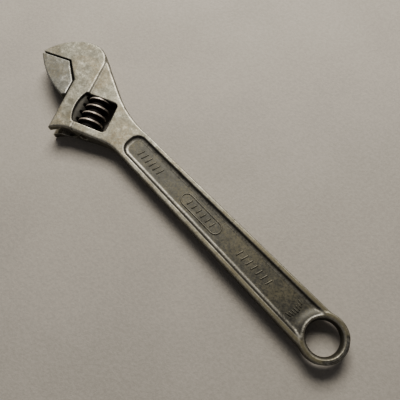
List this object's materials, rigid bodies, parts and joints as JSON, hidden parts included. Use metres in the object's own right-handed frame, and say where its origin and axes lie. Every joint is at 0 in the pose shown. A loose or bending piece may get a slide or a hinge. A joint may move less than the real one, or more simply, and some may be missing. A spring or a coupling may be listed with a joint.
{
  "type": "adjustable wrench",
  "caption": "Forged adjustable wrench with an I-section handle, hanging ring, angled fixed jaw, toothed sliding jaw, adjusting worm, worm pin and spring.",
  "frame": {"origin": "centre of the hanging hole, on the middle plane of the wrench", "axes": "+X along the handle from the ring to the head, +Y to the side that the mouth opens towards, +Z through the flat faces, up at rest"},
  "size_m": [0.2539, 0.0592, 0.015],
  "materials": {
    "forged_body": "worn forged steel with a dull patina",
    "jaw_steel": "worn ground steel",
    "worm_steel": "oil-blackened steel, bright at the crests",
    "pin_steel": "dull turned steel",
    "spring_steel": "oiled spring wire"
  },
  "bodies": {
    "wrench": {"handle_body": "forged_body", "worm_pin": "pin_steel", "tension_spring": "spring_steel"},
    "jaw": {"sliding_jaw": "jaw_steel"},
    "worm": {"adjusting_worm": "worm_steel"}
  },
  "joints": [
    {"name": "jaw_slide", "type": "slide", "parent": "wrench", "child": "jaw", "axis": [-0.4274, 0.9041, 0], "range_m": [-0.0009, 0.0275]},
    {"name": "worm_spin", "type": "hinge", "parent": "wrench", "child": "worm", "pos_m": [0.18511, 0.00403, 0], "axis": [-0.4274, 0.9041, 0], "range_deg": [-1960, 66]}
  ],
  "couplings": [
    {"joint": "worm_spin", "follows": "jaw_slide", "rad_per_m": -1236.8}
  ]
}
